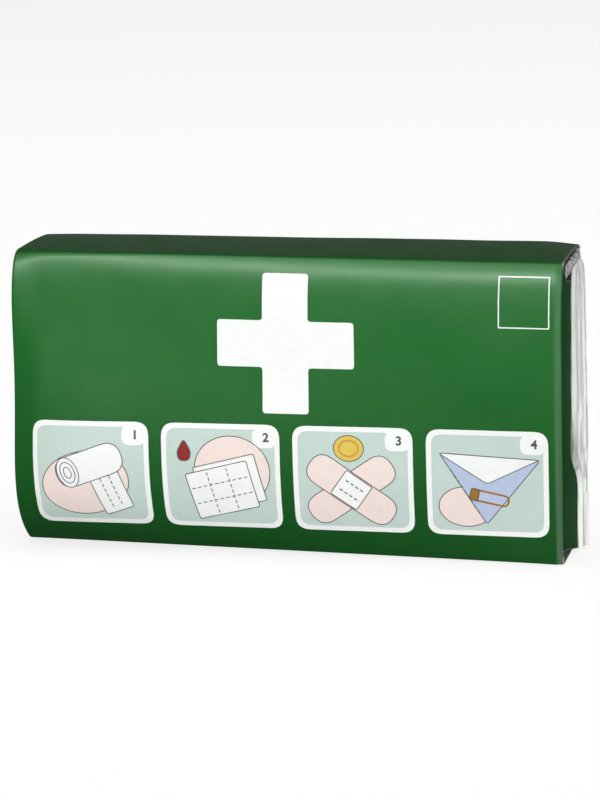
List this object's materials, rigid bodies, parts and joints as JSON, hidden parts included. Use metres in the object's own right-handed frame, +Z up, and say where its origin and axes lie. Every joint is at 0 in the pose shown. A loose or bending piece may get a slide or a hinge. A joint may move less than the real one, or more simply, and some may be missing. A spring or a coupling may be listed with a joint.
{
  "type": "compression bandage in its printed wrapper and clear film pouch",
  "caption": "Soft pack of folded compression bandage: clear film pouch in a printed wrapper that stands on its long side, with an end flap and a gathered film end.",
  "frame": {"origin": "middle of the flat bottom panel, on the surface that the pack stands on", "axes": "+X along the pack's length to its open end, -Y out of the printed front, +Z up"},
  "size_m": [0.1802, 0.0488, 0.0954],
  "materials": {
    "printed_sheet": "printed, semi-gloss",
    "clear_film": "clear, glossy, creased",
    "gauze": "woven, matte"
  },
  "bodies": {
    "root": {"wrapper": "printed_sheet", "film_pouch": "clear_film", "bandage": "gauze"}
  },
  "joints": []
}
